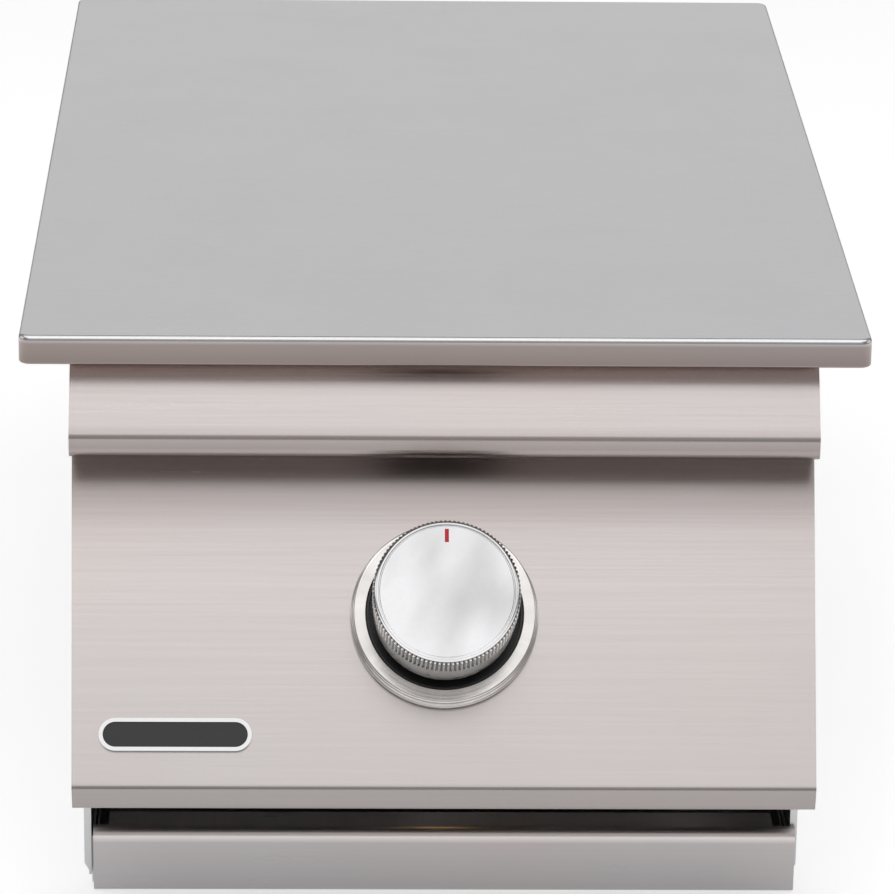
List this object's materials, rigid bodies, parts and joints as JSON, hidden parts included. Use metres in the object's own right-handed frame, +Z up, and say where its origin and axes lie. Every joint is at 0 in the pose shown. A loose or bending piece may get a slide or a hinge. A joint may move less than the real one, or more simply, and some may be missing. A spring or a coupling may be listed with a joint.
{
  "type": "built-in side burner",
  "caption": "Built-in gas side burner with a flat lift-off steel lid, a leaning control panel with one push-and-turn knob, a brass burner under a rod grate, and a slide-out drip tray.",
  "frame": {"origin": "middle of the base, on the surface that the tray runners stand on", "axes": "+Z up, -Y to the front where the knob is, +X to the right as seen from the front"},
  "size_m": [0.362, 0.6248, 0.245],
  "materials": {
    "lid_steel": "satin brushed stainless steel",
    "deck_steel": "satin brushed stainless steel",
    "panel_steel": "brushed stainless steel, grain across",
    "wall_steel": "mill finish stainless steel",
    "tray_steel": "brushed stainless steel",
    "grate_steel": "polished stainless rod",
    "bezel_steel": "turned and brushed steel ring",
    "knob_chrome": "polished chrome plate",
    "badge_chrome": "bright rim",
    "badge_black": "plain gloss black",
    "black_plastic": "black heat-proof plastic",
    "red_mark": "red enamel",
    "brass": "machined brass",
    "burner_brass": "cast brass",
    "zinc": "die cast, plain",
    "fastener_steel": "bright steel",
    "spring_steel": "spring wire",
    "ceramic_white": "unglazed white",
    "rubber_black": "black rubber",
    "lead_sleeve": "silicone lead"
  },
  "bodies": {
    "box": {"badge_plate": "badge_black", "badge_rim": "badge_chrome", "bezel_gasket": "rubber_black", "bonnet_screws": "fastener_steel", "bracket_screws": "fastener_steel", "burner_bracket": "wall_steel", "burner_head": "burner_brass", "burner_pot": "burner_brass", "control_panel": "panel_steel", "cooktop_deck": "deck_steel", "counter_seals": "rubber_black", "firewall": "wall_steel", "front_lip": "panel_steel", "front_rail": "wall_steel", "gas_inlet_fitting": "brass", "gas_orifice": "brass", "gas_pipe": "wall_steel", "grate_frame": "deck_steel", "igniter_ceramic": "ceramic_white", "igniter_lead": "lead_sleeve", "igniter_tab": "fastener_steel", "inlet_lock_nut": "brass", "knob_bezel": "bezel_steel", "lead_grommet": "rubber_black", "left_wall": "wall_steel", "lip_end_left": "panel_steel", "lip_end_right": "panel_steel", "panel_cheek_left": "panel_steel", "panel_cheek_right": "panel_steel", "piezo_igniter": "black_plastic", "piezo_strap": "fastener_steel", "rear_wall": "wall_steel", "recess_liner": "black_plastic", "right_wall": "wall_steel", "spark_wire": "spring_steel", "tray_runner_left": "wall_steel", "tray_runner_right": "wall_steel", "valve_body": "brass", "valve_bonnet": "zinc", "valve_spring": "spring_steel", "venturi_tube": "wall_steel"},
    "lid": {"lid_shell": "lid_steel", "lid_ribs": "wall_steel", "lid_bumpers": "rubber_black"},
    "grate": {"cooking_grate": "grate_steel"},
    "burner_cap": {"burner_cap": "burner_brass"},
    "drip_tray": {"drip_tray_pan": "tray_steel", "drip_tray_front": "tray_steel", "tray_rivets": "fastener_steel"},
    "air_shutter": {"air_shutter": "wall_steel", "shutter_screw": "fastener_steel"},
    "knob_push": {"thrust_washer": "brass"},
    "knob": {"knob_shell": "knob_chrome", "knob_grip_ring": "knob_chrome", "knob_skirt": "black_plastic", "knob_hub": "zinc", "knob_clip": "spring_steel", "knob_mark": "red_mark", "valve_stem": "brass"},
    "valve_plug": {"valve_plug": "brass"}
  },
  "joints": [
    {"name": "lid_lift", "type": "slide", "parent": "box", "child": "lid", "axis": [0, 0, 1], "range_m": [0, 0.25]},
    {"name": "grate_lift", "type": "slide", "parent": "box", "child": "grate", "axis": [0, 0, 1], "range_m": [0, 0.007]},
    {"name": "burner_cap_lift", "type": "slide", "parent": "box", "child": "burner_cap", "axis": [0, 0, 1], "range_m": [0, 0.008]},
    {"name": "drip_tray_slide", "type": "slide", "parent": "box", "child": "drip_tray", "axis": [0, -1, 0], "range_m": [0, 0.4]},
    {"name": "air_shutter_turn", "type": "hinge", "parent": "box", "child": "air_shutter", "pos_m": [0, -0.17359, 0.10037], "axis": [0, 1, 0], "range_deg": [-22, 23]},
    {"name": "knob_press", "type": "slide", "parent": "box", "child": "knob_push", "axis": [0, -0.809, 0.5878], "range_m": [-0.004, 0], "stiffness_N_per_m": 1200, "springref_m": 0.004, "deforming": ["valve_spring"]},
    {"name": "knob_turn", "type": "hinge", "parent": "knob_push", "child": "knob", "pos_m": [0, -0.25679, 0.12741], "axis": [0, -0.809, 0.5878], "range_deg": [0, 210]},
    {"name": "valve_plug_turn", "type": "hinge", "parent": "box", "child": "valve_plug", "pos_m": [0, -0.25679, 0.12741], "axis": [0, -0.809, 0.5878], "range_deg": [0, 210]}
  ],
  "couplings": [
    {"joint": "valve_plug_turn", "follows": "knob_turn", "ratio": 1}
  ]
}
